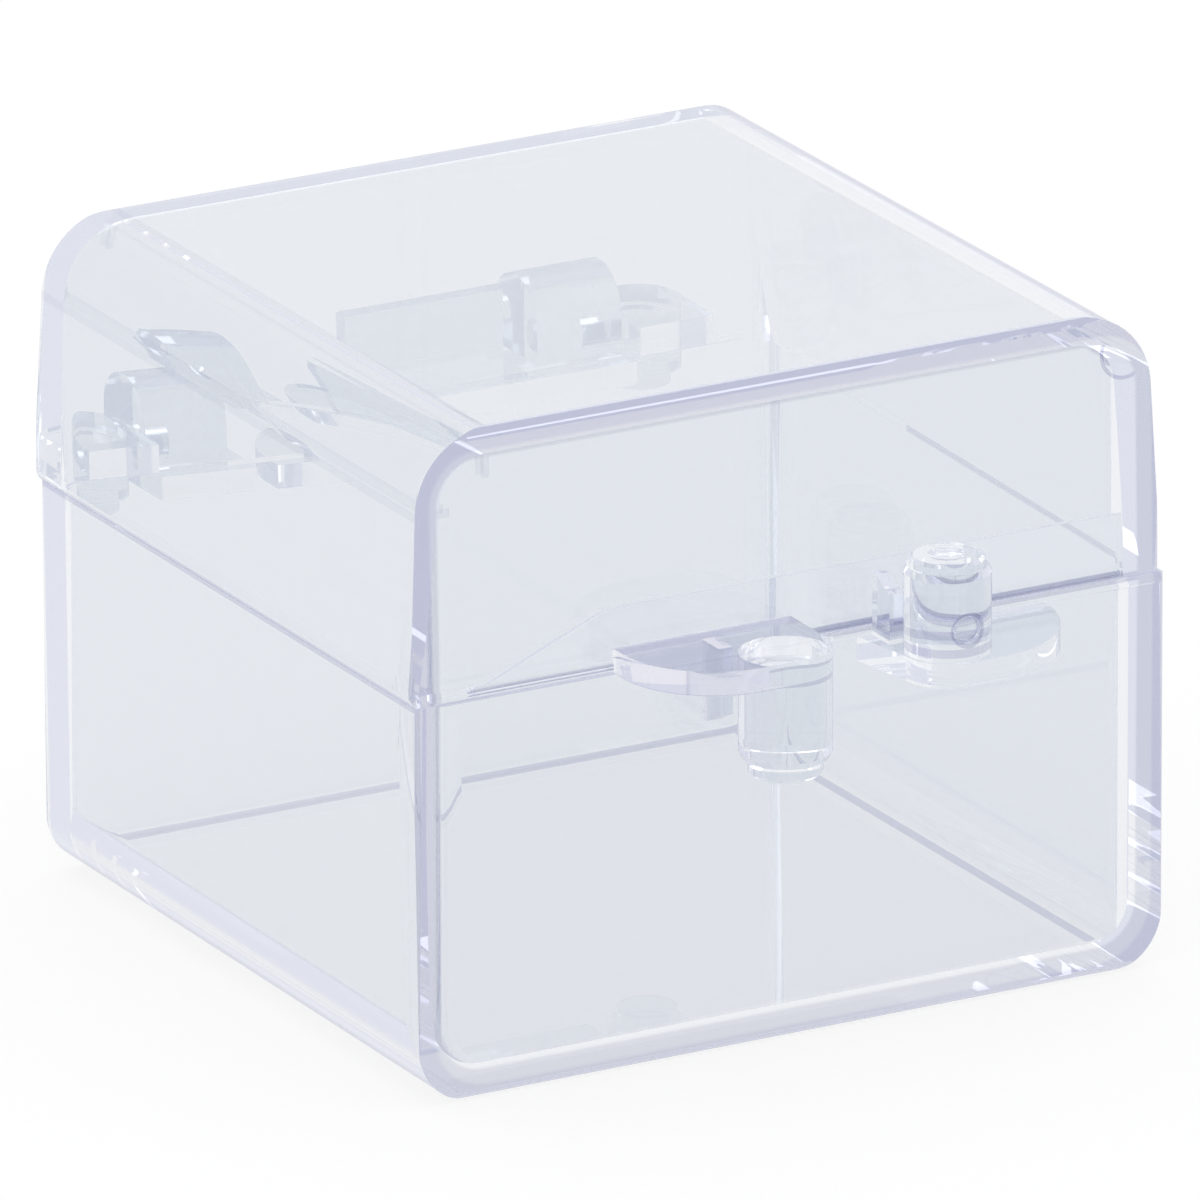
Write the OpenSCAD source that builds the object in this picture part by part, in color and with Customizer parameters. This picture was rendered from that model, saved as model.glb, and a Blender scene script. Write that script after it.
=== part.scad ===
// Crown and bridge box: a small clear box in two mouldings, a base and a lid.
// Each half has round edges along its sides, flat front and rear panels, and its own lugs at the rim.
// X runs along the front panel, Y from front to rear, Z up from the underside.

/* [Case] */
// Outside width of each half
case_w = 38; // [32:0.5:60]
// Outside depth at the parting line, front panel to rear panel
case_d = 35.7; // [28:0.5:60]
// Outside height of the closed box
case_h = 31.1; // [28:0.5:45]
// Height of the parting line above the underside
base_h = 18.7; // [14:0.1:20]
// Sideways step between the two rims: the lid stands out on the left, the base on the right
rim_step = 0.28; // [0.1:0.02:0.4]
// Gap between the closed rims
rim_gap = 0.06; // [0.02:0.02:0.2]

/* [Walls] */
// Thickness of the base walls
base_wall = 1.1; // [1:0.05:2]
// Thickness of the lid walls at the rim
lid_wall = 1.15; // [1.1:0.05:2.4]
// Thickness of the floor and of the lid top
plate_t = 1.4; // [0.8:0.1:2.4]
// Outside radius of the two long edges of the base
base_edge_r = 2.7; // [1.5:0.1:5]
// Outside radius of the two long edges of the lid
lid_edge_r = 3.65; // [1.5:0.05:5]
// Inside radius of the long edges of both halves
inner_edge_r = 2.2; // [0.8:0.1:4]
// Inside radius of the upright corners
inner_corner_r = 1.5; // [0.4:0.1:3]
// Lean of a base wall over its height
base_lean = 0.12; // [0.02:0.02:0.4]
// Lean of a lid wall over its height
lid_lean = 0.42; // [0.1:0.02:0.8]
// Lean of the inside of the lid's side walls, which thickens them toward the top
lid_core_lean = 0.8; // [0.4:0.05:1.2]
// Lean of the front and rear panels of the lid
lid_panel_lean = 0.3; // [0.1:0.05:0.8]
// Lean of the front and rear panels of the base
base_panel_lean = 0.1; // [0.02:0.02:0.4]
// Radius of the edges round the front and rear panels
panel_edge_r = 0.4; // [0.1:0.05:0.8]

/* [Closing lip] */
// Height of the lip that stands up inside the lid's front panel
lip_h = 2.8; // [1.5:0.1:4]
// Thickness of the lip at its foot
lip_t = 0.4; // [0.3:0.05:0.5]
// Thickness of the lip at its top
lip_top_t = 0.12; // [0.08:0.02:0.3]
// Gap between the lip and the lid
lip_gap = 0.1; // [0.1:0.01:0.3]
// Distance from the middle of the box to the lip's left end
lip_left = 16; // [4:0.1:16.4]
// Length over which the lip's left end slopes down to the rim
lip_slope = 7; // [1:0.1:12]
// Gap between the lip's right end and the side wall of the lid
lip_right_gap = 0.7; // [0.3:0.1:4]

/* [Front lugs] */
// Middle of the pair of lugs, measured from the middle of the box
lug_mid = 1.9; // [-2:0.1:3]
// Distance between the two posts
post_spacing = 8.2; // [7:0.1:11]
// Reach of every lug out of its panel
lug_reach = 5.5; // [5.2:0.1:7]
// Thickness of a lug's shelf
shelf_t = 1.13; // [0.8:0.05:1.6]
// Length of a shelf from its post to its rounded end
shelf_run = 6.8; // [5:0.1:9]
// Radius of the rounded end of the lid's shelf and of the rear shelf
shelf_r = 4.5; // [2:0.1:5.2]
// Radius of the rounded end of the base's front shelf
base_shelf_r = 5.3; // [2:0.1:5.5]
// Depth of the base shelf under the parting line
base_shelf_drop = 0.4; // [0.35:0.05:1]
// Distance from a post's centre to the panel
post_out = 3.4; // [2.8:0.1:4]
// Radius of the upright post on the base
base_post_r = 1.97; // [1.4:0.01:2]
// Radius of the hanging post on the lid
lid_post_r = 2.1; // [1.4:0.05:2.2]
// Length of a post from its shelf to its shoulder
post_h = 4; // [2:0.1:6]
// Radius of the narrow tip of a post
post_tip_r = 1.68; // [1:0.02:1.9]
// Length of the narrow tip of the base post
base_tip_h = 0.45; // [0.2:0.05:1]
// Length of the narrow tip of the lid post
lid_tip_h = 0.8; // [0.2:0.05:1.2]
// Height of the small ribs beside the posts
rib_h = 2.9; // [1:0.1:4]
// Thickness of the small ribs
rib_t = 0.7; // [0.4:0.05:1.2]
// Gap between a rib and the panel that it stands against
rib_gap = 0.14; // [0.1:0.01:0.3]

/* [Rear hinge] */
// Distance from the hinge axis to the rear panel
hinge_out = 3.5; // [3.4:0.05:4]
// Height of the hinge axis above the parting line
hinge_up = 0.3; // [0.1:0.05:0.6]
// Distance from the middle of the box to the outer face of a base ear
ear_x = 11.7; // [8:0.1:14]
// Width of a base ear
ear_w = 4.4; // [2.5:0.1:5]
// Width of a lid knuckle
knuckle_w = 3.8; // [2.5:0.1:4.2]
// Half depth of the ears, and radius of their round tops
ear_r = 2; // [1.6:0.05:2.1]
// Side gap between an ear and its knuckle
side_gap = 0.15; // [0.08:0.01:0.3]
// Radius of the hinge pins
pin_r = 0.72; // [0.5:0.01:0.8]
// Running gap around a hinge pin
pin_gap = 0.06; // [0.03:0.01:0.1]
// Length of a hinge pin
pin_len = 1.5; // [0.8:0.1:1.8]
// Length of the rear shelf from the middle of the box to its rounded end
rear_run = 5.4; // [1:0.1:6]
// Height of the rail along the rear shelf
rail_h = 2.7; // [0.8:0.1:2.9]
// Thickness of the rail
rail_t = 0.8; // [0.5:0.1:1.2]
// Radius of the round mark in the side of the upright post
mark_r = 0.62; // [0.3:0.02:0.9]
// Depth of the round mark
mark_deep = 0.35; // [0.1:0.05:0.6]

/* [Hidden] */
$fn = 64;

clear_plastic = [0.82, 0.84, 0.92, 0.5];
front_y = -case_d / 2;
rear_y = case_d / 2;
lid_z = base_h + rim_gap;
lid_h = case_h - lid_z;
base_post_x = lug_mid + post_spacing / 2;
lid_post_x = lug_mid - post_spacing / 2;
base_shelf_top = base_h - base_shelf_drop;
base_shelf_z = base_shelf_top - shelf_t;
rear_reach = lug_reach;
hinge_y = rear_y + hinge_out;
hinge_z = base_h + hinge_up;
knuckle_x = ear_x + side_gap;
// Farthest that a moving knuckle may reach from the hinge axis before it meets the rear panel
swing_r = hinge_out - 0.2;
knuckle_r = 2;
knuckle_tip_r = 1.4;
knuckle_drop = sqrt(pow(swing_r - 0.3, 2) - knuckle_r * knuckle_r);
tip_drop = sqrt(swing_r * swing_r - knuckle_tip_r * knuckle_tip_r);
bead_r = 0.3;
bead_out = 0.12;
rim_cut_w = 0.28;
rim_cut_h = 0.5;
ledge_h = 0.6;
small_round = 0.3;
mark_up = 1.45;
dimple_r = 0.9;
dimple_deep = 0.18;
overlap = 0.4;

// Point where a wall from rim point a touches the edge round of radius r about c
function touch_point(a, c, r) =
    let (v = c - a, turn = atan2(v.y, v.x) - asin(r / norm(v)))
    a + sqrt(v * v - r * r) * [cos(turn), sin(turn)];

// Outline of one half, with its rim on the x axis and its closed face at y = deep
module half_outline(w, deep, r, lean) {
    centre = [w / 2 - lean - r, deep - r];
    touch = touch_point([w / 2, 0], centre, r);
    polygon([[-w / 2, 0], [w / 2, 0], touch, [centre.x, deep], [-centre.x, deep], [-touch.x, touch.y]]);
    for (side = [-1, 1]) translate([side * centre.x, centre.y]) circle(r);
}

// Outer block of one half: rim at z = 0, closed face at z = deep
module half_block(deep, r, lean, panel_lean) {
    intersection() {
        rotate([90, 0, 0]) linear_extrude(case_d + 2, center = true)
            half_outline(case_w, deep, r, lean);
        rotate([90, 0, 90]) linear_extrude(case_w + 2, center = true)
            half_outline(case_d, deep, panel_edge_r, panel_lean);
        translate([0, 0, -1]) linear_extrude(deep + 2) rounded_plan(case_w, case_d, panel_edge_r);
    }
}

module rounded_plan(w, d, r) {
    square([w - 2 * r, d], center = true);
    square([w, d - 2 * r], center = true);
    for (sx = [-1, 1], sy = [-1, 1]) translate([sx * (w / 2 - r), sy * (d / 2 - r)]) circle(r);
}

// Hollow of one half, open at z = 0
module half_hollow(w, d, deep, lean) {
    intersection() {
        rotate([90, 0, 0]) linear_extrude(d, center = true) half_outline(w, deep, inner_edge_r, lean);
        translate([0, 0, -1]) linear_extrude(deep + 2) rounded_plan(w, d, inner_corner_r);
    }
}

// Quarter-round gap between a square edge and its fillet
module edge_cut(r) {
    difference() {
        square([r + 1, r + 1]);
        circle(r);
    }
}

// Plan of a front lug's shelf: post at x = 0, panel along y = 0, rounded end at +x
module shelf_plan(inner, r) {
    centre = [shelf_run - r, r - lug_reach];
    post_side = lug_reach - post_out;
    intersection() {
        translate(centre) circle(r);
        translate([0, -lug_reach]) square([shelf_run, lug_reach]);
    }
    translate([0, -lug_reach]) square([centre.x, lug_reach]);
    translate([0, centre.y]) square([shelf_run, -centre.y]);
    translate([0, -post_out]) circle(post_side);
    polygon([[0, 0], [0, -post_out], [-post_side, -post_out], [-inner, 0]]);
}

// Round post with a shoulder and a narrow tip, standing on z = 0
module post(r, tip_h) {
    rotate_extrude() polygon([
        [0, -overlap], [r, -overlap], [r, post_h - small_round], [r - small_round / 2, post_h],
        [post_tip_r, post_h], [post_tip_r, post_h + tip_h - small_round / 2],
        [post_tip_r - small_round / 2, post_h + tip_h], [0, post_h + tip_h]
    ]);
}

// Shallow round hollow in the top face of the base post
module dimple() {
    ball_r = (dimple_r * dimple_r + dimple_deep * dimple_deep) / (2 * dimple_deep);
    translate([0, 0, post_h + base_tip_h + ball_r - dimple_deep]) sphere(ball_r);
}

// Small upright rib with a slanted top, standing on z = 0 and starting at y = -rib_gap
module rib() {
    rotate([90, 0, 90]) linear_extrude(rib_t, center = true)
        polygon([
            [-rib_gap, -overlap], [-rib_gap, rib_h], [-rib_gap - rib_t / 2, rib_h],
            [-post_out / 2, rib_h - small_round * 2], [-post_out / 2, -overlap]
        ]);
}

module front_lug_base() {
    translate([base_post_x, front_y, 0]) {
        translate([0, 0, base_shelf_z]) linear_extrude(shelf_t) {
            shelf_plan(base_post_r + rib_t, base_shelf_r);
            translate([-base_post_r - rib_t, 0]) square([shelf_run + base_post_r + rib_t, base_wall / 2]);
        }
        translate([0, 0, base_shelf_top]) {
            difference() {
                translate([0, -post_out, 0]) post(base_post_r, base_tip_h);
                translate([0, -post_out, 0]) dimple();
                translate([0, -post_out - base_post_r + mark_deep, mark_up])
                    rotate([90, 0, 0]) cylinder(h = base_post_r, r = mark_r);
            }
            translate([-base_post_r + rib_t / 2, 0, 0]) rib();
        }
    }
}

module front_lug_lid() {
    translate([lid_post_x, front_y, lid_z]) {
        mirror([1, 0, 0]) linear_extrude(shelf_t) {
            shelf_plan(lug_reach - post_out, shelf_r);
            translate([post_out - lug_reach, 0]) square([shelf_run + lug_reach - post_out, base_wall / 2]);
        }
        mirror([0, 0, 1]) {
            translate([0, -post_out, 0]) post(lid_post_r, lid_tip_h);
            translate([-lid_post_r + rib_t / 2 - small_round, 0, 0]) rib();
        }
    }
}

// Upright ear with a round top
module ear() {
    round_z = hinge_z + hinge_out - ear_r - ear_r / 5;
    translate([ear_x - ear_w, hinge_y - ear_r, base_shelf_z])
        cube([ear_w, 2 * ear_r, round_z - base_shelf_z]);
    translate([ear_x - ear_w, hinge_y, round_z]) rotate([0, 90, 0]) cylinder(h = ear_w, r = ear_r);
}

// Blind bore in the outer face of an ear
module pin_bore() {
    translate([ear_x - pin_len - side_gap, hinge_y, hinge_z])
        rotate([0, 90, 0]) cylinder(h = pin_len + 1, r = pin_r + pin_gap);
}

// Shelf behind the rear panel, from the right ear to a rounded end left of the middle
module rear_shelf() {
    round_x = shelf_r - rear_run;
    translate([0, rear_y, base_shelf_z]) linear_extrude(shelf_t) {
        intersection() {
            translate([round_x, rear_reach - shelf_r]) circle(shelf_r);
            translate([-rear_run, 0]) square([shelf_r, rear_reach]);
        }
        translate([round_x, -base_wall / 2]) square([ear_x - round_x, rear_reach + base_wall / 2]);
        translate([-rear_run, -base_wall / 2])
            square([shelf_r, rear_reach - shelf_r + base_wall / 2]);
    }
    translate([round_x, rear_y + rear_reach - rail_t, base_shelf_z])
        cube([ear_x - overlap - round_x, rail_t, shelf_t + rail_h]);
}

// Short foot that carries the left ear
module ear_foot() {
    translate([-ear_x, rear_y - base_wall / 2, base_shelf_z])
        cube([ear_w + rail_t, rear_reach + base_wall / 2, shelf_t]);
}

// Hanging round knuckle on a short shelf, with the pin that turns in the ear
module knuckle() {
    mid_x = knuckle_x + knuckle_w / 2;
    translate([knuckle_x, rear_y - lid_panel_lean - overlap, lid_z])
        cube([knuckle_w, hinge_out + lid_panel_lean + overlap, shelf_t]);
    translate([mid_x, hinge_y, hinge_z - knuckle_drop]) cylinder(h = lid_z + shelf_t - hinge_z + knuckle_drop, r = knuckle_w / 2);
    translate([mid_x, hinge_y, hinge_z - tip_drop]) cylinder(h = tip_drop, r = knuckle_tip_r);
    translate([knuckle_x - pin_len, hinge_y, hinge_z]) rotate([0, 90, 0]) cylinder(h = pin_len + knuckle_w / 2, r = pin_r);
}

// Side view of the lip, grown by gap on its outer side and its top
module lip_outline(gap) {
    foot = base_h - 1;
    slope = (lip_t - lip_top_t) / lip_h;
    inner = front_y + base_wall;
    outer = inner - lip_t - gap;
    polygon([
        [inner + gap * 4, foot], [outer, foot], [outer, base_h],
        [outer + slope * (lip_h + gap), base_h + lip_h + gap], [inner + gap * 4, base_h + lip_h + gap]
    ]);
}

// Lip that stands on the front wall of the base, inside the lid
module closing_lip(gap) {
    left = -lip_left - gap;
    right = case_w / 2 - rim_step / 2 - lid_wall - lip_right_gap + gap;
    intersection() {
        translate([left, 0, 0]) rotate([90, 0, 90]) linear_extrude(right - left) lip_outline(gap);
        rotate([90, 0, 0]) linear_extrude(case_d + 2, center = true) polygon([
            [left, base_h - 2], [left, base_h + gap], [left + lip_slope, base_h + lip_h + gap * 2],
            [right, base_h + lip_h + gap * 2], [right, base_h - 2]
        ]);
    }
}

module base() {
    color(clear_plastic) {
        translate([rim_step / 2, 0, 0]) {
            difference() {
                union() {
                    translate([0, 0, base_h]) mirror([0, 0, 1])
                        half_block(base_h, base_edge_r, base_lean, base_panel_lean);
                    translate([lug_mid, front_y + bead_r - bead_out, base_h - bead_r])
                        rotate([0, 90, 0]) cylinder(h = case_w / 2 - lug_mid - bead_r, r = bead_r);
                }
                translate([0, 0, base_h]) mirror([0, 0, 1])
                    half_hollow(case_w - 2 * base_wall, case_d - 2 * base_wall, base_h - plate_t, base_lean);
                translate([case_w / 2 - small_round, 0, base_h - small_round])
                    rotate([90, 0, 0]) linear_extrude(case_d + 4, center = true) edge_cut(small_round);
            }
        }
        closing_lip(0);
        front_lug_base();
        difference() {
            union() {
                rear_shelf();
                ear_foot();
                ear();
                mirror([1, 0, 0]) ear();
            }
            pin_bore();
            mirror([1, 0, 0]) pin_bore();
        }
    }
}

module lid() {
    color(clear_plastic) {
        difference() {
            union() {
                translate([-rim_step / 2, 0, lid_z]) difference() {
                    union() {
                        half_block(lid_h, lid_edge_r, lid_lean, lid_panel_lean);
                        rotate([90, 0, 90]) translate([0, 0, -case_w / 2 + bead_r])
                            linear_extrude(lid_post_x + rim_step / 2 + case_w / 2 - bead_r)
                            polygon([
                                [front_y + 1, 0], [front_y, 0], [front_y - bead_out, bead_r / 2],
                                [front_y - bead_out, bead_r], [front_y + lid_panel_lean / 8, ledge_h],
                                [front_y + 1, ledge_h]
                            ]);
                    }
                    half_hollow(case_w - 2 * lid_wall, case_d - 2 * lid_wall, lid_h - plate_t, lid_core_lean);
                    rotate([90, 0, 0]) linear_extrude(case_d + 4, center = true) polygon([
                        [-case_w / 2 - 1, -1], [-case_w / 2 + rim_cut_w, -1], [-case_w / 2 + rim_cut_w, 0],
                        [-case_w / 2, rim_cut_h], [-case_w / 2 - 1, rim_cut_h]
                    ]);
                }
                front_lug_lid();
                knuckle();
                mirror([1, 0, 0]) knuckle();
            }
            closing_lip(lip_gap);
        }
    }
}

base();
lid();
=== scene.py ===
"""Looks of the crown and bridge box: clear polystyrene on a white studio table."""

import functools
import math

import bpy
from mathutils import Matrix, Vector

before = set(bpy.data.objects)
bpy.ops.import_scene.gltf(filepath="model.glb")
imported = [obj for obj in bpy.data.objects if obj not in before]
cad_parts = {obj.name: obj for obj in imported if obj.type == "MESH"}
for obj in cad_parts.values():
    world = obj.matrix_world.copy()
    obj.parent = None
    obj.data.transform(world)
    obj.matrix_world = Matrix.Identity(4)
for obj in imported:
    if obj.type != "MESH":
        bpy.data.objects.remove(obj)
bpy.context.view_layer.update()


MM = 0.001
POLYSTYRENE_IOR = 1.58
# Turns that light takes inside the clear walls before it counts as caught there
LAST_TURN = 8

# Places on the box, in millimetres; a pair in brackets is a middle and a reach to both sides
BOX_MIDDLE_UP = 15.55
PARTING_LINE = 18.72
FRONT_SKIN, SIDE_SKIN = -17.1, 18.5
FLOOR_TOP, FLOOR_SPAN = 1.55, (0, 16.95)
LIP_UP, LIP_ALONG = (20.27, 1.54), (-17, 0.65)
SHELF_FRONT, SHELF_END, SHELF_END_START = -18.2, -5, -3

# Front panel's outline, and the dark bands of painted shade along it, in millimetres
PANEL_HALF_WIDTH, PANEL_CORNER = 19.0, 3.4
BROAD_BAND, NARROW_BAND, BAND_SOFTNESS = 1.0, 0.55, 0.08
TO_UPPER_LEFT, NARROW_TILL, BROAD_FROM = (-1, 0, 1.2), -4, 3
WALL_END, WALL_END_SOFTNESS = 1.35, 0.1

# Line of painted shade at the rim: half its height at both ends of the front panel and on the side walls
RIM_AT_LEFT, RIM_AT_RIGHT, RIM_ON_SIDE = 0.09, 0.2, 0.22
RIM_CHANGE, RIM_CORNER, RIM_RIGHT_END = 3, 0.1, 4

# Thin lines of painted shade along the floor and along the left rounded edge of the lid, in millimetres
FLOOR_LINE_UP = (1.58, 0.4)
REAR_LINE, REAR_LINE_END = (16.55, 0.65), 17.1
RIGHT_LINE, RIGHT_LINE_END = (15.85, 0.26), -16.5
FOLD_ON_TOP, TOP_WALL = (15.2, 0.22), (30.3, 1.5)
FOLD_ON_SIDE, SIDE_WALL = (27.5, 0.22), 17

# Round marks left by the mould, drawn as rings of painted shade: middle, radius and half the width of
# the line, in millimetres
POST_MARK = (6.0, -23.1, 19.75), 0.72, 0.12
CORNER_MARK = (17.1, -17.55, 29.2), 1.17, 0.09

# Limits of the way a face points
FACES_FRONT, FACES_UP = -0.5, 0.45
EDGE_ON_START, EDGE_ON_FULL = 0.76, 0.9

# Tones of the plastic: its own tone and the lip's, painted light on the floor plate, painted shade for
# the darker tones, and the colour of the glow of caught light
PLASTIC_TONE = (0.858, 0.877, 0.905)
# Painted light: the floor plate is tinted paler so that the floor seen through it looks lighter
PAINTED_LIGHT_FLOOR_TONE = (0.915, 0.925, 0.945)
LIP_TONE = (0.99, 0.99, 0.995)
# Painted shade: dark lavender band along the front panel's edges
PAINTED_EDGE_BAND_SHADE = (0.43, 0.44, 0.58)
# Painted shade: darker tone on the ends of the walls round the front panel
PAINTED_WALL_END_SHADE = (0.56, 0.58, 0.66)
# Painted shade: darker lavender on the front of the lid's shelf towards its left end
PAINTED_SHELF_SHADE = (0.72, 0.72, 0.82)
# Painted shade: dark ring round the mould marks
PAINTED_RING_SHADE = (0.45, 0.46, 0.60)
# Painted shade in the join between lid and base
PAINTED_RIM_SHADE = (0.52, 0.53, 0.66)
# Painted shade in the creases of the floor
PAINTED_FLOOR_CREASE_SHADE = (0.46, 0.47, 0.63)
# Painted shade where the lid's rounded edge meets the walls
PAINTED_FOLD_SHADE = (0.72, 0.74, 0.80)
# Painted shade on faces seen edge-on
PAINTED_EDGE_ON_SHADE = (0.30, 0.30, 0.46)
CAUGHT_LIGHT = (0.385, 0.395, 0.44)

# Studio
TABLE_WHITE, TABLE_GLOW_SHARE, TABLE_HALF, TABLE_UNDER = 0.92, 0.85, 3.0, -0.08 * MM
WALL_LIGHT = (0.93, 0.94, 0.96)
LAMP_AIM = Vector((0, 0, 15 * MM))

# Camera, as fitted to the photo
PHOTO_WIDTH, SENSOR_WIDTH = 1200, 36
CAMERA_AZIMUTH, CAMERA_HEIGHT, CAMERA_ROLL = -28.735, 19.338, -0.234
CAMERA_REACH = 1045
PIXELS_PER_MM = 22.296
SHIFT_ACROSS, SHIFT_UP = 3.28, -9.13


def new_material(name):
    mat = bpy.data.materials.new(name)
    mat.use_nodes = True
    return mat, mat.node_tree.nodes, mat.node_tree.links


class TonesAndPaintedShade:
    """Lays tones, most of them painted shade, over a plastic's own tone, each where its mask is 1.
    Lengths are in millimetres.
    """

    def __init__(self, nodes, links, tone):
        self.nodes, self.links, self.tone = nodes, links, tone
        coords = nodes.new("ShaderNodeTexCoord")
        self.point = coords.outputs["Object"]
        self.across, self.along, self.up = self.split(self.point)
        self.facing_along, self.facing_up = self.split(coords.outputs["Normal"])[1:]

    def split(self, vector):
        node = self.nodes.new("ShaderNodeSeparateXYZ")
        self.links.new(vector, node.inputs[0])
        return list(node.outputs)

    def combine(self, kind, operation, values, result):
        """One node that works on values, each a number, a vector or another node's output."""
        node = self.nodes.new(kind)
        node.operation = operation
        for socket, value in zip(node.inputs, values):
            if isinstance(value, bpy.types.NodeSocket):
                self.links.new(value, socket)
            else:
                socket.default_value = value
        return node.outputs[result]

    def math(self, operation, *values):
        return self.combine("ShaderNodeMath", operation, values, "Value")

    def vector(self, operation, *values):
        return self.combine("ShaderNodeVectorMath", operation, values, "Vector")

    def measure(self, operation, *values):
        """A length, a distance or a dot product."""
        return self.combine("ShaderNodeVectorMath", operation, values, "Value")

    def near(self, value, middle, reach):
        """1 within the reach of the middle, 0 elsewhere."""
        return self.math("COMPARE", value, middle * MM, reach * MM)

    def above(self, value, limit):
        return self.math("GREATER_THAN", value, limit * MM)

    def below(self, value, limit):
        return self.math("LESS_THAN", value, limit * MM)

    def both(self, *masks):
        return functools.reduce(lambda first, second: self.math("MULTIPLY", first, second), masks)

    def either(self, *masks):
        return functools.reduce(lambda first, second: self.math("MAXIMUM", first, second), masks)

    def run(self, value, start, end, low=0, high=1):
        """Runs softly from low at start to high at end."""
        node = self.nodes.new("ShaderNodeMapRange")
        node.interpolation_type = "SMOOTHSTEP"
        self.links.new(value, node.inputs["Value"])
        for name, number in (("From Min", start), ("From Max", end), ("To Min", low), ("To Max", high)):
            node.inputs[name].default_value = number
        return node.outputs["Result"]

    def run_mm(self, value, start, end, low=0.0, high=1.0):
        return self.run(value, start * MM, end * MM, low, high)

    def lay(self, mask, color):
        node = self.nodes.new("ShaderNodeMix")
        node.data_type = "RGBA"
        share, under, over = node.inputs[0], node.inputs[6], node.inputs[7]
        self.links.new(mask, share)
        if isinstance(self.tone, tuple):
            under.default_value = (*self.tone, 1)
        else:
            self.links.new(self.tone, under)
        over.default_value = (*color, 1)
        self.tone = node.outputs[2]


def paint_panel_edge_shade(tones_and_shade):
    """Painted shade: a dark band at the front panel's edges, broad at the left and the top, narrow at
    the right and underneath, and a darker tone on the wall ends round it.
    """
    off_centre = tones_and_shade.vector("SUBTRACT", tones_and_shade.point, (0, 0, BOX_MIDDLE_UP * MM))
    flat_width, flat_height = PANEL_HALF_WIDTH - PANEL_CORNER, BOX_MIDDLE_UP - PANEL_CORNER
    past_flat = tones_and_shade.vector(
        "SUBTRACT", tones_and_shade.vector("ABSOLUTE", off_centre), (flat_width * MM, 1, flat_height * MM)
    )
    outwards = tones_and_shade.measure("LENGTH", tones_and_shade.vector("MAXIMUM", past_flat, (0, 0, 0)))
    faces_front = tones_and_shade.math("LESS_THAN", tones_and_shade.facing_along, FACES_FRONT)
    front = tones_and_shade.both(faces_front, tones_and_shade.below(tones_and_shade.along, FRONT_SKIN))
    end_start = PANEL_CORNER - WALL_END
    wall_end_shade_share = tones_and_shade.run_mm(outwards, end_start - WALL_END_SOFTNESS, end_start + WALL_END_SOFTNESS)
    # Painted shade on the wall ends
    tones_and_shade.lay(tones_and_shade.both(wall_end_shade_share, front), PAINTED_WALL_END_SHADE)

    to_upper_left = tones_and_shade.measure("DOT_PRODUCT", off_centre, TO_UPPER_LEFT)
    narrow_start, broad_start = (PANEL_CORNER - NARROW_BAND) * MM, (PANEL_CORNER - BROAD_BAND) * MM
    band_start = tones_and_shade.run_mm(to_upper_left, NARROW_TILL, BROAD_FROM, narrow_start, broad_start)
    into_band = tones_and_shade.math("SUBTRACT", outwards, band_start)
    band = tones_and_shade.run_mm(into_band, -BAND_SOFTNESS, BAND_SOFTNESS)
    tones_and_shade.lay(tones_and_shade.both(band, front), PAINTED_EDGE_BAND_SHADE)


def paint_rim_shade(tones_and_shade):
    """Painted shade: dark line where the two halves meet, thinnest at the left of the front panel."""
    front_wall = tones_and_shade.below(tones_and_shade.along, FRONT_SKIN)
    left_wall = tones_and_shade.below(tones_and_shade.across, -SIDE_SKIN)
    right_wall = tones_and_shade.both(
        tones_and_shade.above(tones_and_shade.across, SIDE_SKIN), tones_and_shade.below(tones_and_shade.along, RIM_RIGHT_END)
    )
    walls = tones_and_shade.either(front_wall, left_wall, right_wall)
    on_front = tones_and_shade.run_mm(
        tones_and_shade.across, -RIM_CHANGE, RIM_CHANGE, RIM_AT_LEFT * MM, RIM_AT_RIGHT * MM
    )
    on_left = tones_and_shade.run_mm(
        tones_and_shade.across, RIM_CORNER - SIDE_SKIN, -RIM_CORNER - SIDE_SKIN, 0, RIM_ON_SIDE * MM
    )
    half_height = tones_and_shade.either(on_front, on_left)
    level = tones_and_shade.math("COMPARE", tones_and_shade.up, PARTING_LINE * MM, half_height)
    tones_and_shade.lay(tones_and_shade.both(level, walls), PAINTED_RIM_SHADE)


def paint_floor_crease_shade(tones_and_shade):
    """Painted shade: thin dark lines in the creases where the floor runs into the rear wall and into the
    right wall.
    """
    faces_up = tones_and_shade.math("GREATER_THAN", tones_and_shade.facing_up, FACES_UP)
    floor_top = tones_and_shade.both(tones_and_shade.near(tones_and_shade.up, *FLOOR_LINE_UP), faces_up)
    rear = tones_and_shade.both(
        tones_and_shade.near(tones_and_shade.along, *REAR_LINE), tones_and_shade.below(tones_and_shade.across, REAR_LINE_END)
    )
    right = tones_and_shade.both(
        tones_and_shade.near(tones_and_shade.across, *RIGHT_LINE), tones_and_shade.above(tones_and_shade.along, RIGHT_LINE_END)
    )
    tones_and_shade.lay(tones_and_shade.both(floor_top, tones_and_shade.either(rear, right)), PAINTED_FLOOR_CREASE_SHADE)


def paint_fold_shade(tones_and_shade):
    """Painted shade: two soft darker lines where the left rounded edge of the lid runs into the side
    wall and the top.
    """
    to_left = tones_and_shade.math("MULTIPLY", tones_and_shade.across, -1)
    on_top = tones_and_shade.both(tones_and_shade.near(to_left, *FOLD_ON_TOP), tones_and_shade.near(tones_and_shade.up, *TOP_WALL))
    on_side = tones_and_shade.both(tones_and_shade.near(tones_and_shade.up, *FOLD_ON_SIDE), tones_and_shade.above(to_left, SIDE_WALL))
    tones_and_shade.lay(tones_and_shade.either(on_top, on_side), PAINTED_FOLD_SHADE)


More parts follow.
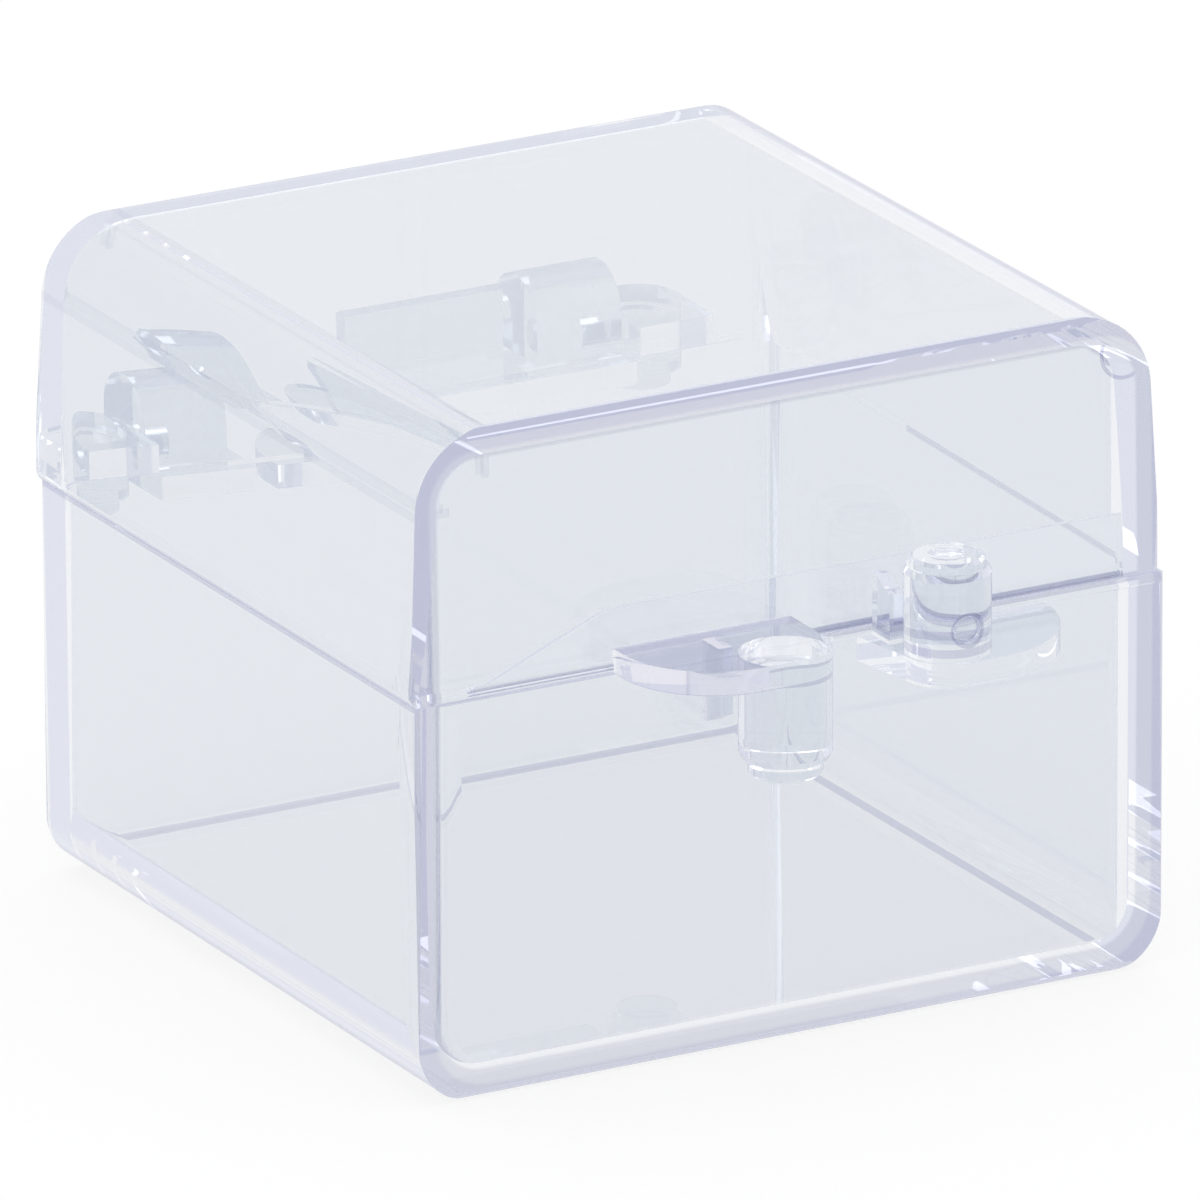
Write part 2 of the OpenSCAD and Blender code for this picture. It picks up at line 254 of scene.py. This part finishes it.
def paint_ring_shade(tones_and_shade, middle, radius, line):
    """Thin round line left by the mould, its darkness painted shade."""
    distance = tones_and_shade.measure("DISTANCE", tones_and_shade.point, [part * MM for part in middle])
    tones_and_shade.lay(tones_and_shade.near(distance, radius, line), PAINTED_RING_SHADE)


def paint_base_tones_and_shade(tones_and_shade):
    paint_ring_shade(tones_and_shade, *POST_MARK)
    # Painted light: the floor plate is tinted paler than the walls
    floor = tones_and_shade.both(tones_and_shade.below(tones_and_shade.up, FLOOR_TOP), tones_and_shade.near(tones_and_shade.along, *FLOOR_SPAN))
    tones_and_shade.lay(floor, PAINTED_LIGHT_FLOOR_TONE)
    # The lip stands inside the lid, so its two faces add no tone of their own
    lip = tones_and_shade.both(tones_and_shade.near(tones_and_shade.up, *LIP_UP), tones_and_shade.near(tones_and_shade.along, *LIP_ALONG))
    tones_and_shade.lay(lip, LIP_TONE)
    paint_floor_crease_shade(tones_and_shade)


def paint_lid_shade(tones_and_shade):
    paint_fold_shade(tones_and_shade)
    # Painted shade on the shelf's front, growing towards its left end
    shelf_shade_share = tones_and_shade.run_mm(tones_and_shade.across, SHELF_END_START, SHELF_END)
    tones_and_shade.lay(tones_and_shade.both(shelf_shade_share, tones_and_shade.below(tones_and_shade.along, SHELF_FRONT)), PAINTED_SHELF_SHADE)
    paint_ring_shade(tones_and_shade, *CORNER_MARK)


def clear_polystyrene(name, mark):
    """Clear moulded plastic: painted shade in lavender where light comes out of its edges."""
    mat, nodes, links = new_material(name)
    shader = nodes["Principled BSDF"]
    shader.inputs["Transmission Weight"].default_value = 1
    shader.inputs["IOR"].default_value = POLYSTYRENE_IOR
    shader.inputs["Roughness"].default_value = 0

    tones_and_shade = TonesAndPaintedShade(nodes, links, PLASTIC_TONE)
    mark(tones_and_shade)
    paint_rim_shade(tones_and_shade)
    paint_panel_edge_shade(tones_and_shade)
    # Painted shade: faces seen edge-on are tinted darker; a wall that is seen edge-on is looked through
    # for longer
    edge_on_shade_weight = nodes.new("ShaderNodeLayerWeight")
    tones_and_shade.lay(tones_and_shade.run(edge_on_shade_weight.outputs["Facing"], EDGE_ON_START, EDGE_ON_FULL), PAINTED_EDGE_ON_SHADE)
    links.new(tones_and_shade.tone, shader.inputs["Base Color"])

    # Light that is still caught inside the walls after the last turn ends as a soft glow
    turns = nodes.new("ShaderNodeLightPath").outputs["Ray Depth"]
    links.new(tones_and_shade.math("GREATER_THAN", turns, LAST_TURN - 0.5), shader.inputs["Emission Strength"])
    shader.inputs["Emission Color"].default_value = (*CAUGHT_LIGHT, 1)
    mat.cycles.emission_sampling = "NONE"
    return mat


def looked_at(nodes, links):
    """1 where a thing is seen, also in or through the plastic, and 0 where it only gives light."""
    path = nodes.new("ShaderNodeLightPath")
    seen = path.outputs["Is Camera Ray"]
    for way in ("Is Transmission Ray", "Is Glossy Ray"):
        larger = nodes.new("ShaderNodeMath")
        larger.operation = "MAXIMUM"
        links.new(seen, larger.inputs[0])
        links.new(path.outputs[way], larger.inputs[1])
        seen = larger.outputs[0]
    return seen


def table_paint():
    """White table: shows as white itself and keeps the box's shadow."""
    mat, nodes, links = new_material("table_paint")
    shader = nodes["Principled BSDF"]
    shader.inputs["Base Color"].default_value = (TABLE_WHITE, TABLE_WHITE, TABLE_WHITE, 1)
    shader.inputs["Roughness"].default_value = 0.9
    shader.inputs["Specular IOR Level"].default_value = 0
    glow = nodes.new("ShaderNodeEmission")
    glow.inputs["Color"].default_value = (1, 1, 1, 1)
    glow.inputs["Strength"].default_value = 1
    share = nodes.new("ShaderNodeMath")
    share.operation = "MULTIPLY"
    share.inputs[1].default_value = TABLE_GLOW_SHARE
    links.new(looked_at(nodes, links), share.inputs[0])
    mix = nodes.new("ShaderNodeMixShader")
    links.new(share.outputs[0], mix.inputs[0])
    links.new(shader.outputs[0], mix.inputs[1])
    links.new(glow.outputs[0], mix.inputs[2])
    links.new(mix.outputs[0], nodes["Material Output"].inputs["Surface"])
    return mat


def dress_box():
    plastics = {
        "base": clear_polystyrene("clear_polystyrene_base_painted_shade", paint_base_tones_and_shade),
        "lid": clear_polystyrene("clear_polystyrene_lid_painted_shade", paint_lid_shade),
    }
    for name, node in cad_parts.items():
        node.data.materials.clear()
        node.data.materials.append(plastics[name])


def build_table():
    """Flat white table just under the box, so that no face of the box lies in it."""
    mesh = bpy.data.meshes.new("table_top")
    turns = ((-1, -1), (1, -1), (1, 1), (-1, 1))
    corners = [(across * TABLE_HALF, along * TABLE_HALF, TABLE_UNDER) for across, along in turns]
    mesh.from_pydata(corners, [], [(0, 1, 2, 3)])
    table = bpy.data.objects.new("table_top", mesh)
    table.data.materials.append(table_paint())
    bpy.context.scene.collection.objects.link(table)


def add_lamp(name, place, size, power):
    lamp = bpy.data.lights.new(name, "AREA")
    lamp.shape = "RECTANGLE"
    lamp.size, lamp.size_y = size
    lamp.energy = power
    obj = bpy.data.objects.new(name, lamp)
    obj.location = place
    obj.rotation_euler = (LAMP_AIM - Vector(place)).to_track_quat("-Z", "Y").to_euler()
    bpy.context.scene.collection.objects.link(obj)


def studio_walls():
    """Soft light from all round, and plain white where the walls themselves are looked at."""
    world = bpy.data.worlds.new("studio_walls")
    world.use_nodes = True
    nodes, links = world.node_tree.nodes, world.node_tree.links
    shade = nodes.new("ShaderNodeMix")
    shade.data_type = "RGBA"
    links.new(looked_at(nodes, links), shade.inputs[0])
    shade.inputs[6].default_value = (*WALL_LIGHT, 1)
    shade.inputs[7].default_value = (1, 1, 1, 1)
    links.new(shade.outputs[2], nodes["Background"].inputs["Color"])
    return world


def light_studio():
    add_lamp("top_softbox", (0.05, 0.15, 0.9), (0.9, 0.9), 2)
    add_lamp("side_softbox", (-0.8, -0.3, 0.5), (0.6, 0.6), 1)
    bpy.context.scene.world = studio_walls()


def aim_camera():
    """Long lens from the front left, a little above, with the photo's framing."""
    azimuth, height, roll = (math.radians(turn) for turn in (CAMERA_AZIMUTH, CAMERA_HEIGHT, CAMERA_ROLL))
    level = math.cos(height)
    back = Vector((math.sin(azimuth) * level, -math.cos(azimuth) * level, math.sin(height)))
    right = Vector((math.cos(azimuth), math.sin(azimuth), 0))
    up = back.cross(right)
    turned_right = right * math.cos(roll) + up * math.sin(roll)
    turned_up = up * math.cos(roll) - right * math.sin(roll)
    lens = bpy.data.cameras.new("studio_camera")
    lens.sensor_width = SENSOR_WIDTH
    lens.lens = PIXELS_PER_MM * CAMERA_REACH * SENSOR_WIDTH / PHOTO_WIDTH
    lens.shift_x = SHIFT_ACROSS / PHOTO_WIDTH
    lens.shift_y = SHIFT_UP / PHOTO_WIDTH
    lens.clip_end = 20
    camera = bpy.data.objects.new("studio_camera", lens)
    turn = Matrix((turned_right, turned_up, back)).transposed()
    place = Vector((0, 0, BOX_MIDDLE_UP * MM)) + back * CAMERA_REACH * MM
    camera.matrix_world = Matrix.Translation(place) @ turn.to_4x4()
    bpy.context.scene.collection.objects.link(camera)
    bpy.context.scene.camera = camera


dress_box()
build_table()
light_studio()
aim_camera()

view = bpy.context.scene.view_settings
view.view_transform = "Standard"
# Light runs along inside the clear walls, so it may turn as often as the plastic counts
paths = bpy.context.scene.cycles
paths.max_bounces = LAST_TURN
paths.glossy_bounces = LAST_TURN
paths.transmission_bounces = LAST_TURN
